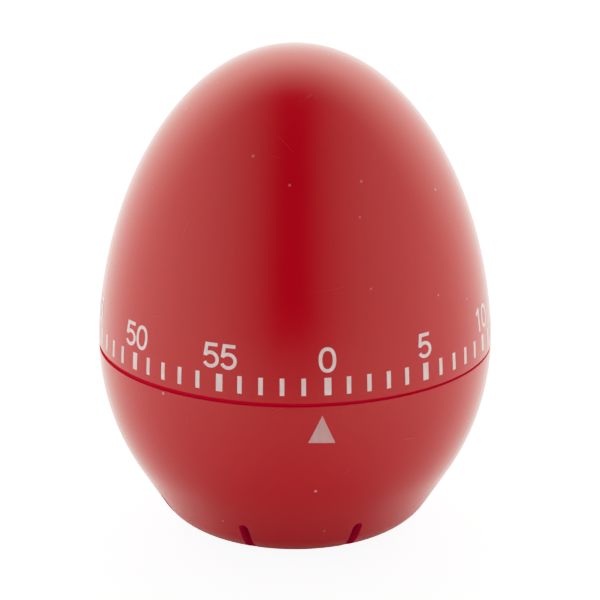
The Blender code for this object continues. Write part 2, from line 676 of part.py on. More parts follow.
def make_alarm_lever(axis):
    """The lever that rides on the cam and frees the hammer when its tip drops into the notch."""
    place = place_of(axis)
    nose = [polar(reach, lever_tip_bearing()) for reach in (LEVER_TIP_REACH, LEVER_TIP_REACH + LEVER_NOSE)]
    points = [(x - place[0], y - place[1]) for x, y in nose] + [(0, 0), LEVER_CATCH]
    outline = strap(points, [2 * LEVER_TIP_RADIUS, 1.0, 2.6, 1.0])
    sheet("alarm_lever", outline, 0.6, STEEL, axis, SECOND_LEVEL, [circle(0.8, steps=12)])
    lengths = [(1.1, TOP_PLATE - SECOND_LEVEL - 0.8), (PIVOT_RADIUS, 0.9)]
    stud = [(0.7, 0.9)] + lengths
    shaft("lever_stud", stud, STEEL, axis, TOP_PLATE - 0.1 - stud[0][1] - lengths[0][1])
    torsion_spring("lever_spring", axis, 25.0, 1.5, (300, 60))


def torsion_spring(name, axis, level, radius, tails, turns=3, wire=0.15):
    """A coil round an arbor with two straight tails."""
    steps = 10
    first, last = tails
    total = turns * 360 + last - first
    count = turns * steps
    pitch = 2 * wire + 0.06
    points = []
    for step in range(count + 1):
        share = step / count
        x, y = polar(radius + wire, first + total * share)
        points.append((x, y, level + pitch * turns * share))
    for end, side, bearing in ((0, -90, first), (-1, 90, last)):
        x, y, z = points[end]
        dx, dy = polar(3.0, bearing + side)
        points.insert(0 if end == 0 else len(points), (x + dx, y + dy, z))
    curve = bpy.data.curves.new(name, "CURVE")
    curve.dimensions = "3D"
    curve.bevel_depth = wire * MM
    curve.bevel_resolution = 1
    curve.use_fill_caps = True
    spline = curve.splines.new("POLY")
    spline.points.add(len(points) - 1)
    for target, (x, y, z) in zip(spline.points, points):
        target.co = (x * MM, y * MM, z * MM, 1)
    add_object(name, curve, SPRING_STEEL, axis)


def place_of(axis):
    return axis.location.x / MM, axis.location.y / MM


def meeting_point(first, first_span, second, second_span):
    """The point at given distances from two others, on the right-hand side going from first to second."""
    gap = math.dist(first, second)
    along = (first_span**2 - second_span**2 + gap**2) / (2 * gap)
    away = math.sqrt(first_span**2 - along**2)
    ux, uy = (second[0] - first[0]) / gap, (second[1] - first[1]) / gap
    return first[0] + ux * along + uy * away, first[1] + uy * along - ux * away


def main():
    for thing in list(bpy.data.objects):
        bpy.data.objects.remove(thing, do_unlink=True)

    second_place = polar(SECOND_REACH, SECOND_BEARING)
    span = SECOND_MODULE * (SECOND_TEETH + LEAVES) / 2
    third_place = meeting_point((0, 0), THIRD_REACH, second_place, span)
    span = THIRD_MODULE * (THIRD_TEETH + LEAVES) / 2
    escape_place = meeting_point((0, 0), ESCAPE_REACH, third_place, span)
    balance_place = polar(BALANCE_REACH, BALANCE_BEARING)
    hammer_place = polar(HAMMER_REACH, HAMMER_BEARING)
    lever_place = polar(LEVER_REACH, LEVER_BEARING)

    base = empty("base_axis")
    dial = empty("dial_axis")
    second = empty("second_axis", second_place)
    third = empty("third_axis", third_place)
    escape = empty("escape_axis", escape_place)
    balance = empty("balance_axis", balance_place)
    hammer = empty("hammer_axis", hammer_place)
    lever = empty("lever_axis", lever_place)
    bpy.context.view_layer.update()

    pivots = [(place, PIVOT_RADIUS) for place in (second_place, third_place, escape_place, balance_place)]
    pivots += [(hammer_place, ARBOR_RADIUS), (lever_place, PIVOT_RADIUS)]
    make_dial_shell(dial)
    make_base_shell(base)
    make_frame(base, pivots)
    make_bell(base)
    make_main_arbor(dial, polar(PILLAR_REACH, PILLAR_FIRST + 240))
    make_train(dial, second, third, escape)
    make_balance(balance, escape_place)
    make_hammer(hammer, second_place)
    make_alarm_lever(lever)


main()
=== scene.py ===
"""The looks of the egg-shaped kitchen timer: fine shells, the printed scale, materials, light and camera."""

import json
import math

import bmesh
import bpy
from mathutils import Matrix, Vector


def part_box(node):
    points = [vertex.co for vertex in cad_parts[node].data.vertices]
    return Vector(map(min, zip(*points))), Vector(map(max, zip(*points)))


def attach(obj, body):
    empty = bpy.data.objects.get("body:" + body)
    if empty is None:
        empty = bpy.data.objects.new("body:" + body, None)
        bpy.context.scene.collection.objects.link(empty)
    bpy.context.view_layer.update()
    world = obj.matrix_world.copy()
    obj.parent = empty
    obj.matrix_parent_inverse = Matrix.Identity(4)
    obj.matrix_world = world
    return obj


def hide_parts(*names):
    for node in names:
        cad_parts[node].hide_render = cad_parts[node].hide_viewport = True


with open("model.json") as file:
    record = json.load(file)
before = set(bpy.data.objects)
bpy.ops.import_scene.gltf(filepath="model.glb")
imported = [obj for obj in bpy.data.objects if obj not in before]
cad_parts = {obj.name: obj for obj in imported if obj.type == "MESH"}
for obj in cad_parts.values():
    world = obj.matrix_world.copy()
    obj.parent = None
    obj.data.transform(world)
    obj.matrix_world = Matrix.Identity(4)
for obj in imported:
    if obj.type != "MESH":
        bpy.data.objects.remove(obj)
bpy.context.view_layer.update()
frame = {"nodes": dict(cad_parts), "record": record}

MM = 0.001

# The form of the egg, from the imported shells. The shoulder and the crown are powers in the dial's outline.
dial_low, dial_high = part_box("dial_shell")
base_low, base_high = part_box("base_shell")
arbor_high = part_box("main_arbor")[1]
RADIUS = (base_high.x - base_low.x) / 2
CROWN = dial_high.z
LIP_TOP = base_high.z
GAP = 0.5 * MM
PARTING = dial_low.z - GAP / 2
DIAL_SHOULDER = 1.825
DIAL_CROWN = 2.04
BELLY_ARC = 36.3 * MM
FLANK_LEAN = math.radians(32.0)
FOOT_ARC = 7.7 * MM
WALL = 1.9 * MM
EDGE_ROUND = 0.10 * MM
DIAL_CORNER = 0.2 * MM   # how much of the outline the rounding of the dial's rim takes
BASE_CORNER = 0.3 * MM   # and that of the base's rim
RIM_SKEW = 0.0073        # how far the dial's rim falls for each unit to the right
RIM_DROP = 0.05 * MM     # how far all of it falls
SHELL_STEPS = 192
DIAL_STEPS = 110
BASE_STEPS = 40
CORNER_STEPS = 6
SHARP_ANGLE = math.radians(40)
MATT_INDEX = 1           # the matt material's place among a shell's materials

# Inner features of the shells.
RIM_BORE = 28.9 * MM
RIM_RISE = 3.3 * MM
LIP_RADIUS = 28.5 * MM
LIP_BORE = 27.5 * MM
STEP_RADIUS = 29.65 * MM
STEP_TOP = 0.60 * MM
REBATE_RADIUS = 29.80 * MM
REBATE_TOP = 1.00 * MM
HUB_RADIUS = 4.2 * MM
HUB_BOTTOM = 31.0 * MM
HUB_BORE = 2.1 * MM
HUB_ROOT = 0.8 * MM
HUB_ROUND = 0.4 * MM
BORE_ROUND = 0.3 * MM
BORE_SPARE = 0.5 * MM
LIP_ROUND = 0.3 * MM
BOSS_RADIUS = 2.4 * MM
BOSS_TOP = 26.7 * MM
BOSS_HOLE = 0.9 * MM
BOSS_DEPTH = 9.0 * MM
BOSS_STEPS = 40
SLOT_COUNT = 8
SLOT_FIRST = 17.4
SLOT_WIDTH = 1.45 * MM
SLOT_TOP = 6.2 * MM
SLOT_INNER = 17.2 * MM
SLOT_STEPS = 12
CUT_ROUND = 0.09 * MM
CUT_ANGLE = math.radians(50)
SHADING_REACH = 0.01 * MM

# The printed scale, in millimetres above the parting line, and the pointer below it. ZERO_AT and MINUTE_STEP
# are in degrees.
MINUTES = 60
ZERO_AT = 1.52
MINUTE_STEP = 5.853
MARK_LOW = 1.42
MARK_HIGH = 3.97
MARK_WIDE = 0.98
MARK_THIN = 0.64
NUMBER_LOW = 4.73
NUMBER_HEIGHT = 3.62
NUMBER_SHIFT = -0.02
DIGIT_PITCH = 2.70
STROKE = 0.50
POINTER_APEX = -1.66
POINTER_FOOT = -5.98
POINTER_WIDTH = 3.9
POINTER_LEAN = 0.05
POINTER_ROWS = 16
POINTER_COLUMNS = 8
INK_THICKNESS = 0.02 * MM
GRAIN_HEIGHT = 0.01 * MM

# Camera: where it stands as seen from the middle of the parting line, and where it aims.
CAMERA_AZIMUTH = math.radians(-7.4)
CAMERA_ELEVATION = math.radians(19.02)
CAMERA_DISTANCE = 350.0 * MM
AIM_RAISE = 5.58 * MM
AIM_RIGHT = 0.767 * MM
LENS = 136.6
SENSOR_WIDTH = 36.0

# The view curve: scene light against the level shown.
FILM_WHITE = 1.7
FILM_RESPONSE = (
    (0.0, 0.0), (0.40, 0.40), (0.60, 0.575), (0.775, 0.69), (1.0, 0.79), (1.3, 0.89), (FILM_WHITE, 1.0),
)

# The floor's discs, and the patch that shows in the gloss: solid to its core, faded out at its radius.
FLOOR_RADIUS = 3.0
FLOOR_STEPS = 96
PATCH_RADIUS = 27.0 * MM
PATCH_CORE = 17.0 * MM

# The light tent: its level by the distance to the side of the dark gap in front, the share of that level kept
# by the distance below the horizon, and the light of the table added there.
TENT_GAP = math.radians(-9.0)
TENT_SIDES = (
    (0.0, 0.0), (0.12, 0.0), (0.20, 0.12), (0.32, 0.37), (0.45, 0.62),
    (0.58, 0.84), (0.71, 1.08), (0.95, 1.40), (1.0, 1.60),
)
TENT_KEPT = (0.0, 1.0), (0.06, 0.85), (0.26, 0.63), (0.47, 0.40), (0.82, 0.22), (0.93, 0.0)
TENT_TABLE = (
    (0.0, 0.0), (0.05, 0.24), (0.16, 0.40), (0.26, 0.55),
    (0.42, 0.70), (0.59, 0.62), (0.82, 0.45), (1.0, 0.27),
)


# ---------------------------------------------------------------- outlines

def dial_outline(inset, steps):
    """(radius, height) along the dial from the parting line to the crown, inset from the outside."""
    rise = CROWN - PARTING - inset
    points = []
    for step in range(steps):
        angle = math.radians(90 * step / steps)
        radius = (RADIUS - inset) * math.cos(angle) ** (2 / DIAL_CROWN)
        points.append((radius, PARTING + rise * math.sin(angle) ** (2 / DIAL_SHOULDER)))
    return points + [(0.0, CROWN - inset)]


def base_outline(inset, belly_steps, foot_steps):
    """(radius, height) along the base from the parting line to the foot's flat, inset from the outside."""
    centre = RADIUS - BELLY_ARC
    points = []
    for step in range(belly_steps + 1):
        angle = FLANK_LEAN * step / belly_steps
        arc = BELLY_ARC - inset
        points.append((centre + arc * math.cos(angle), PARTING - arc * math.sin(angle)))
    foot_top = FOOT_ARC * (1 - math.sin(FLANK_LEAN))
    fall = PARTING - BELLY_ARC * math.sin(FLANK_LEAN) - foot_top
    foot_radius = centre + BELLY_ARC * math.cos(FLANK_LEAN) - fall * math.tan(FLANK_LEAN)
    flat_radius = foot_radius - FOOT_ARC * math.cos(FLANK_LEAN)
    for step in range(foot_steps + 1):
        angle = FLANK_LEAN + (math.pi / 2 - FLANK_LEAN) * step / foot_steps
        arc = FOOT_ARC - inset
        points.append((flat_radius + arc * math.cos(angle), FOOT_ARC - arc * math.sin(angle)))
    return points


def rounded(corner, before, after, radius, steps=4):
    """Points that round off a corner of an outline towards its two neighbours."""
    corner, before, after = (Vector(point) for point in (corner, before, after))
    first = corner + (before - corner).normalized() * radius
    last = corner + (after - corner).normalized() * radius
    points = []
    for step in range(steps + 1):
        share = step / steps
        points.append(tuple(first.lerp(corner, share).lerp(corner.lerp(last, share), share)))
    return points


def outline_between(points, start, end, spacing):
    """Even points on a straight stretch, without its ends."""
    count = max(int((Vector(end) - Vector(start)).length / spacing), 1)
    for step in range(1, count):
        points.append(tuple(Vector(start).lerp(Vector(end), step / count)))


# ---------------------------------------------------------------- meshes

def matt_faces(mesh):
    """Gives the matt material to the inside of a shell and to the groove between the shells."""
    bmesh.ops.recalc_face_normals(mesh, faces=mesh.faces)
    for face in mesh.faces:
        middle = face.calc_center_median()
        radius = middle.xy.length
        groove = STEP_RADIUS - 0.1 * MM < radius < RADIUS - 0.02 * MM and abs(middle.z - PARTING) < REBATE_TOP
        faces_axis = face.normal.xy.dot(middle.xy) < 0
        faces_up = middle.z < PARTING and face.normal.z > 0.5
        if groove or radius < LIP_BORE and (faces_axis or faces_up):
            face.material_index = MATT_INDEX


def object_of(name, mesh):
    """An object of a bmesh, put in the scene."""
    data = bpy.data.meshes.new(name)
    mesh.to_mesh(data)
    mesh.free()
    thing = bpy.data.objects.new(name, data)
    bpy.context.scene.collection.objects.link(thing)
    return thing


def shade(piece):
    """Smooth faces, with the steep edges kept sharp."""
    piece.data.shade_smooth()
    piece.data.set_sharp_from_angle(angle=SHARP_ANGLE)


def new_piece(name, mesh, body, material):
    """Makes an object of a bmesh that rides on a body and takes the material it is given."""
    bmesh.ops.recalc_face_normals(mesh, faces=mesh.faces)
    piece = object_of(name, mesh)
    shade(piece)
    piece.data.materials.append(material)
    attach(piece, body)
    return piece


def bridge(mesh, one, two):
    """Faces between two rings with the same number of points."""
    for step in range(len(one)):
        after = (step + 1) % len(one)
        mesh.faces.new((one[step], one[after], two[after], two[step]))


def lathe(profile, steps=SHELL_STEPS):
    """A bmesh turned about Z from an outline of (radius, height) that starts and ends on the axis."""
    mesh = bmesh.new()
    rings = []
    for radius, height in profile:
        if radius == 0:
            rings.append([mesh.verts.new((0, 0, height))])
            continue
        angles = (math.tau * step / steps for step in range(steps))
        rings.append([mesh.verts.new((radius * math.cos(a), radius * math.sin(a), height)) for a in angles])
    for lower, upper in zip(rings, rings[1:]):
        if len(lower) == len(upper):
            bridge(mesh, lower, upper)
            continue
        for step in range(steps):
            after = (step + 1) % steps
            if len(lower) == 1:
                mesh.faces.new((lower[0], upper[step], upper[after]))
            else:
                mesh.faces.new((lower[step], lower[after], upper[0]))
    return mesh


def apply_modifier(piece, modifier):
    with bpy.context.temp_override(object=piece):
        bpy.ops.object.modifier_apply(modifier=modifier.name)


def cut(piece, cutter):
    """Takes the cutter's space out of the piece, and removes the cutter."""
    modifier = piece.modifiers.new("cut", "BOOLEAN")
    modifier.operation = "DIFFERENCE"
    modifier.solver = "EXACT"
    modifier.object = cutter
    modifier.material_mode = "TRANSFER"
    apply_modifier(piece, modifier)
    bpy.data.objects.remove(cutter, do_unlink=True)


# ---------------------------------------------------------------- materials

def set_stops(curve, stops):
    """Runs a curve in straight lines between (from, to) stops."""
    while len(curve.points) < len(stops):
        curve.points.new(0.5, 0.5)
    for point, stop in zip(curve.points, stops):
        point.location = stop
        point.handle_type = "VECTOR"


class Nodes:
    """A short way to write a node tree."""

    def __init__(self, owner):
        owner.use_nodes = True
        self.owner = owner
        self.tree = owner.node_tree
        self.shader = self.tree.nodes.get("Principled BSDF")
        coordinates = self.tree.nodes.new("ShaderNodeTexCoord").outputs
        self.place = coordinates["Object"]
        self.direction = coordinates["Generated"]

    def node(self, kind, **settings):
        made = self.tree.nodes.new(kind)
        for name, value in settings.items():
            setattr(made, name, value)
        return made

    def link(self, output, target):
        self.tree.links.new(output, target)

    def mapped(self, scale):
        """Object coordinates stretched by a factor along each axis."""
        mapping = self.node("ShaderNodeMapping")
        mapping.inputs["Scale"].default_value = scale
        self.link(self.place, mapping.inputs["Vector"])
        return mapping.outputs["Vector"]

    def noise(self, scale, detail=3.0, roughness=0.5, place=None):
        texture = self.node("ShaderNodeTexNoise")
        texture.inputs["Scale"].default_value = scale
        texture.inputs["Detail"].default_value = detail
        texture.inputs["Roughness"].default_value = roughness
        self.link(place or self.place, texture.inputs["Vector"])
        return texture.outputs["Fac"]

    def ranged(self, value, low, high, to_low, to_high):
        """The value mapped from one range to another, held at its ends."""
        mapped = self.node("ShaderNodeMapRange", clamp=True)
        self.link(value, mapped.inputs["Value"])
        for name, number in (("From Min", low), ("From Max", high), ("To Min", to_low), ("To Max", to_high)):
            mapped.inputs[name].default_value = number
        return mapped.outputs["Result"]

    def math(self, operation, *values):
        made = self.node("ShaderNodeMath", operation=operation)
        for socket, value in zip(made.inputs, values):
            if isinstance(value, (int, float)):
                socket.default_value = value
            else:
                self.link(value, socket)
        return made.outputs["Value"]

    def curve(self, value, stops):
        """The value through straight lines between (from, to) stops, held at the ends."""
        made = self.node("ShaderNodeFloatCurve")
        made.mapping.use_clip = False
        made.mapping.extend = "HORIZONTAL"
        set_stops(made.mapping.curves[0], stops)
        made.mapping.update()
        self.link(value, made.inputs["Value"])
        return made.outputs["Value"]

    def along(self, axis):
        """How far the direction goes along an axis, from -1 to 1."""
        made = self.node("ShaderNodeVectorMath", operation="DOT_PRODUCT")
        made.inputs[1].default_value = axis
        self.link(self.direction, made.inputs[0])
        return made.outputs["Value"]

    def mix(self, share, first, second):
        """A colour between two others."""
        made = self.node("ShaderNodeMix", data_type="RGBA")
        self.link(share, made.inputs["Factor"])
        for name, colour in (("A", first), ("B", second)):
            socket = [s for s in made.inputs if s.name == name and s.type == "RGBA"][0]
            if isinstance(colour, tuple):
                socket.default_value = (*colour, 1.0)
            else:
                self.link(colour, socket)
        return [s for s in made.outputs if s.type == "RGBA"][0]

    def bump(self, height, strength, distance):
        made = self.node("ShaderNodeBump")
        made.inputs["Strength"].default_value = strength
        made.inputs["Distance"].default_value = distance
        self.link(height, made.inputs["Height"])
        self.link(made.outputs["Normal"], self.shader.inputs["Normal"])

    def set(self, **values):
        for name, value in values.items():
            socket = self.shader.inputs[name.replace("_", " ")]
            if hasattr(value, "node"):
                self.link(value, socket)
            else:
                socket.default_value = (*value, 1.0) if isinstance(value, tuple) else value


def red_plastic(name, seed):
    """Gloss red plastic: faint flow marks, hairline scratches, handling haze and a few specks of dust."""
    nodes = Nodes(bpy.data.materials.new(name))
    nodes.place = shifted(nodes, seed)
    flow = nodes.noise(90, 4)
    haze = nodes.noise(55, 5, 0.6)
    grain = nodes.noise(2600, 2)
    colour = nodes.mix(flow, (0.495, 0.0007, 0.0105), (0.525, 0.0012, 0.0120))
    specks = dust(nodes)
    colour = nodes.mix(specks, colour, (0.62, 0.36, 0.33))
    scratches = hairlines(nodes)
    roughness = nodes.ranged(haze, 0.3, 0.75, 0.17, 0.23)
    roughness = nodes.math("ADD", roughness, nodes.math("MULTIPLY", scratches, 0.10))
    roughness = nodes.math("ADD", roughness, nodes.math("MULTIPLY", specks, 0.4))
    height = nodes.math("ADD", nodes.math("MULTIPLY", grain, 0.25), nodes.math("MULTIPLY", scratches, -0.6))
    nodes.bump(height, 0.12, GRAIN_HEIGHT)
    nodes.set(Base_Color=colour, Roughness=roughness, IOR=1.5, Specular_Tint=(1.0, 0.97, 0.82))
    return nodes.owner


def matt_plastic(name, seed):
    """The same plastic, unpolished. A faint glow stands for the light that comes through the thin wall."""
    nodes = Nodes(bpy.data.materials.new(name))
    nodes.place = shifted(nodes, seed)
    colour = nodes.mix(nodes.noise(400, 3), (0.45, 0.0006, 0.0090), (0.50, 0.0012, 0.0110))
    nodes.bump(nodes.noise(4000, 2), 0.1, GRAIN_HEIGHT)
    roughness = nodes.ranged(nodes.noise(900), 0.3, 0.7, 0.7, 0.85)
    nodes.set(Base_Color=colour, Roughness=roughness, Specular_IOR_Level=0.05)
    nodes.set(Emission_Color=(1.0, 0.0, 0.09), Emission_Strength=0.10)
    return nodes.owner


def shifted(nodes, seed):
    """Object coordinates moved, so that two pieces of one material don't repeat each other."""
    mapping = nodes.node("ShaderNodeMapping")
    mapping.inputs["Location"].default_value = (seed * 0.37, seed * 0.53, seed * 0.11)
    nodes.link(nodes.place, mapping.inputs["Vector"])
    return mapping.outputs["Vector"]


def dust(nodes):
    """Small specks, far apart."""
    cells = nodes.node("ShaderNodeTexVoronoi")
    cells.inputs["Scale"].default_value = 200
    nodes.link(nodes.place, cells.inputs["Vector"])
    near = nodes.ranged(cells.outputs["Distance"], 0.034, 0.052, 1.0, 0.0)
    chosen = nodes.node("ShaderNodeSeparateColor")
    nodes.link(cells.outputs["Color"], chosen.inputs["Color"])
    rare = nodes.ranged(chosen.outputs["Red"], 0.10, 0.80, 0.0, 0.9)
    return nodes.math("MULTIPLY", near, rare)


def hairlines(nodes):
    """Fine scratches: the edges between long thin cells, shown in patches only."""
    total = None
    for stretch, scale in (((1.0, 1.0, 0.16), 120), ((0.5, 0.2, 1.0), 90)):
        cells = nodes.node("ShaderNodeTexVoronoi", feature="DISTANCE_TO_EDGE")
        cells.inputs["Scale"].default_value = scale
        nodes.link(nodes.mapped(stretch), cells.inputs["Vector"])
        line = nodes.ranged(cells.outputs["Distance"], 0.0, 0.006, 1.0, 0.0)
        patch = nodes.ranged(nodes.noise(scale * 1.7, 1), 0.60, 0.68, 0.0, 1.0)
        line = nodes.math("MULTIPLY", line, patch)
        total = line if total is None else nodes.math("MAXIMUM", total, line)
    return total


def print_ink(name, colour, thin):
    """Thin pad-printed ink: uneven cover, slightly rough."""
    nodes = Nodes(bpy.data.materials.new(name))
    cover = nodes.ranged(nodes.noise(1400, 4, 0.65), 0.32, 0.62, 0.0, 1.0)
    mottle = nodes.ranged(nodes.noise(350, 2), 0.3, 0.7, 0.0, 1.0)
    colour = nodes.mix(nodes.math("MULTIPLY", cover, mottle), thin, colour)
    nodes.bump(cover, 0.15, GRAIN_HEIGHT)
    nodes.set(Base_Color=colour, Roughness=nodes.ranged(mottle, 0, 1, 0.32, 0.44), IOR=1.45)
    return nodes.owner


def metal(name, colour, dark, roughness, grain, stretch=(1.0, 1.0, 1.0)):
    """Worked metal: machining or rolling marks along one direction, tarnish in patches."""
    nodes = Nodes(bpy.data.materials.new(name))
    marks = nodes.noise(grain, 6, 0.7, nodes.mapped(stretch))
    tarnish = nodes.ranged(nodes.noise(160, 4, 0.6), 0.42, 0.70, 0.0, 0.75)
    low, high = roughness
    nodes.bump(marks, 0.25, 2 * GRAIN_HEIGHT)
    nodes.set(
        Base_Color=nodes.mix(tarnish, colour, dark),
        Roughness=nodes.ranged(marks, 0.3, 0.7, low, high),
        Metallic=1.0,
    )
    return nodes.owner


# ---------------------------------------------------------------- shells

def skew_rim(mesh):
    """Sets the dial's rim slightly out of true: lower on the right, so the groove is wider on the left."""
    for vertex in mesh.verts:
        share = 1 - (vertex.co.z - PARTING) / RIM_RISE
        if share > 0 and vertex.co.xy.length > LIP_BORE:
            vertex.co.z -= share * (vertex.co.x * RIM_SKEW + RIM_DROP)


def make_dial(material, matt):
    """The upper shell: crown, rim with a rebate inside it, inner wall and the hub with its bore."""
    rim = dial_low.z
    outside = dial_outline(0, DIAL_STEPS)
    outside = [point for point in outside if point[1] > rim + DIAL_CORNER]
    corner = (RADIUS, rim)
    rebate_foot = (REBATE_RADIUS, rim)
    rebate_top = (REBATE_RADIUS, PARTING + REBATE_TOP)
    face_end = (RIM_BORE, PARTING + REBATE_TOP)
    step = (RIM_BORE, PARTING + RIM_RISE)
    inner = [point for point in dial_outline(WALL, 60) if point[0] > HUB_RADIUS + HUB_ROOT]
    inner = [point for point in inner if point[1] > step[1]]
    step_end = (inner[0][0], step[1])
    hub_foot = (HUB_RADIUS, HUB_BOTTOM)
    bore_foot = (HUB_BORE, HUB_BOTTOM)
    bore_top = (HUB_BORE, arbor_high.z + BORE_SPARE)
    profile = [(0, bore_top[1]), bore_top]
    profile += rounded(bore_foot, bore_top, hub_foot, BORE_ROUND)
    profile += rounded(hub_foot, bore_foot, inner[-1], HUB_ROUND)
    profile += inner[::-1]
    profile += [step_end]
    profile += rounded(step, step_end, face_end, 0.2 * MM)
    profile += rounded(face_end, step, rebate_top, EDGE_ROUND)
    profile += [rebate_top]
    profile += rounded(rebate_foot, rebate_top, corner, 0.03 * MM)
    profile += rounded(corner, rebate_foot, outside[0], EDGE_ROUND, CORNER_STEPS)
    profile += outside
    mesh = lathe(profile)
    matt_faces(mesh)
    skew_rim(mesh)
    piece = new_piece("egg_dial", mesh, "dial", material)
    piece.data.materials.append(matt)
    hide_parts("dial_shell")


def make_base(material, matt):
    """The lower shell: foot, flank, belly, rim, step behind the groove, lip, inner wall, slots and bosses."""
    rim_height = PARTING - GAP / 2
    outside = base_outline(0, BASE_STEPS, BASE_STEPS)
    outside = [point for point in outside if point[1] < rim_height - BASE_CORNER]
    corner = (RADIUS, rim_height)
    step_foot = (STEP_RADIUS, rim_height)
    step_top = (STEP_RADIUS, PARTING + STEP_TOP)
    lip_foot = (LIP_RADIUS, PARTING + STEP_TOP)
    lip_outer = (LIP_RADIUS, LIP_TOP)
    lip_inner = (LIP_BORE, LIP_TOP)
    inside = [point for point in base_outline(WALL, 30, 30) if point[0] < LIP_BORE]
    profile = [(0, 0)]
    outline_between(profile, (0, 0), outside[-1], 1.5 * MM)
    profile += outside[::-1]
    profile += rounded(corner, outside[0], step_foot, EDGE_ROUND, CORNER_STEPS)
    profile += rounded(step_foot, corner, step_top, 0.05 * MM)
    profile += rounded(step_top, step_foot, lip_foot, 0.06 * MM)
    profile += rounded(lip_foot, step_top, lip_outer, 0.15 * MM)
    profile += rounded(lip_outer, lip_foot, lip_inner, LIP_ROUND)
    profile += rounded(lip_inner, lip_outer, inside[0], LIP_ROUND)
    profile += inside
    profile += [(0, WALL)]
    mesh = lathe(profile)
    matt_faces(mesh)
    piece = new_piece("egg_base", mesh, "base", material)
    piece.data.materials.append(matt)
    whole = piece.copy()
    whole.data = piece.data.copy()
    bpy.context.scene.collection.objects.link(whole)
    for index in range(SLOT_COUNT):
        cut(piece, slot_cutter(SLOT_FIRST + index * 360 / SLOT_COUNT, matt))
    soften_cuts(piece)
    shade(piece)
    keep_shading(piece, whole)
    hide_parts("base_shell")
    make_bosses(material)


def slot_cutter(bearing, matt):
    """A blade along a radius, which cuts a slot with a round top, open at the foot, with matt walls."""
    half = SLOT_WIDTH / 2
    outline = [(-half, -half), (half, -half)]
    for step in range(SLOT_STEPS + 1):
        angle = math.pi * step / SLOT_STEPS
        outline.append((half * math.cos(angle), SLOT_TOP - half + half * math.sin(angle)))
    mesh = bmesh.new()
    face = mesh.faces.new([mesh.verts.new((SLOT_INNER, x, z)) for x, z in outline])
    raised = bmesh.ops.extrude_face_region(mesh, geom=[face])
    far = [item for item in raised["geom"] if isinstance(item, bmesh.types.BMVert)]
    bmesh.ops.translate(mesh, verts=far, vec=(RADIUS - SLOT_INNER, 0, 0))
    bmesh.ops.recalc_face_normals(mesh, faces=mesh.faces)
    cutter = object_of("slot_cutter", mesh)
    cutter.data.materials.append(matt)
    cutter.rotation_euler.z = math.radians(bearing - 90)
    bpy.context.view_layer.update()
    return cutter


def soften_cuts(piece):
    """A small rounding along the edges that the slots leave."""
    bevel = piece.modifiers.new("soften", "BEVEL")
    bevel.width = CUT_ROUND
    bevel.segments = 2
    bevel.limit_method = "ANGLE"
    bevel.angle_limit = CUT_ANGLE
    apply_modifier(piece, bevel)


def keep_shading(piece, whole):
    """Takes over the smooth shading of the uncut form where its surface is left, and removes that form."""
    transfer = piece.modifiers.new("shading", "DATA_TRANSFER")
    transfer.object = whole
    transfer.use_loop_data = True
    transfer.data_types_loops = {"CUSTOM_NORMAL"}
    transfer.loop_mapping = "POLYINTERP_NEAREST"
    transfer.use_max_distance = True
    transfer.max_distance = SHADING_REACH
    apply_modifier(piece, transfer)
    bpy.data.objects.remove(whole, do_unlink=True)


def wall_height(radius):
    """How high the middle of the base's wall is at this radius."""
    middle = base_outline(WALL / 2, 20, 20)
    for (outer, high), (inner, low) in zip(middle, middle[1:]):
        if inner <= radius <= outer:
            return low + (high - low) * (radius - inner) / (outer - inner)
    return PARTING


def make_bosses(material):
    """Three tubes for the movement's screws, run down into the wall."""
    angles = [math.tau * step / BOSS_STEPS for step in range(BOSS_STEPS)]
    for index in range(3):
        screw_low, screw_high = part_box(f"plate_screw_{index + 1}")
        centre = (screw_low + screw_high) / 2
        outer, inner = (
            [(centre.x + radius * math.cos(a), centre.y + radius * math.sin(a)) for a in angles]
            for radius in (BOSS_RADIUS, BOSS_HOLE)
        )
        mesh = bmesh.new()
        rings = [
            [mesh.verts.new((x, y, wall_height(math.hypot(x, y)))) for x, y in outer],
            [mesh.verts.new((x, y, BOSS_TOP)) for x, y in outer],
            [mesh.verts.new((x, y, BOSS_TOP)) for x, y in inner],
            [mesh.verts.new((x, y, BOSS_TOP - BOSS_DEPTH)) for x, y in inner],
        ]
        for one, two in zip(rings, rings[1:]):
            bridge(mesh, one, two)
        mesh.faces.new(rings[-1])
        mesh.faces.new(rings[0])
        new_piece(f"screw_boss_{index + 1}", mesh, "base", material)


# ---------------------------------------------------------------- printed scale

def dial_radius(height):
    """The dial's radius at this height above the resting face."""
    rise = max(height - PARTING, 0.0) / (CROWN - PARTING)
    return RADIUS * (1 - rise**DIAL_SHOULDER) ** (1 / DIAL_CROWN)


def base_radius(height):
    """The base's radius at this height, where the belly's arc runs."""
    drop = PARTING - height
    return RADIUS - BELLY_ARC + math.sqrt(BELLY_ARC**2 - drop**2)


def on_shell(across, up, bearing, radius_at, lift):
    """A point across (to the right) and up from the parting line, in millimetres, wrapped on a shell."""
    height = PARTING + up * MM
    radius = radius_at(height)
    angle = math.radians(bearing) + across * MM / radius
    reach = radius + lift
    return reach * math.sin(angle), -reach * math.cos(angle), height


def ribbon(mesh, path, width, bearing, radius_at, lift, closed=False):
    """A thin solid band of ink along a path of (across, up) points."""
    path = [Vector(point) for point in path]
    count = len(path)
    rows = []
    for index, point in enumerate(path):
        before = path[index - 1] if index or closed else point
        after = path[(index + 1) % count] if index < count - 1 or closed else point
        along = (after - before).normalized()
        side = Vector((-along.y, along.x)) * width / 2
        row = []
        for offset, height in ((side, lift), (-side, lift), (-side, -lift), (side, -lift)):
            place = point + offset
            row.append(mesh.verts.new(on_shell(place.x, place.y, bearing, radius_at, height)))
        rows.append(row)
    pairs = list(zip(rows, rows[1:])) + ([(rows[-1], rows[0])] if closed else [])
    for one, two in pairs:
        bridge(mesh, one, two)
    if not closed:
        mesh.faces.new(rows[0])
        mesh.faces.new(rows[-1])


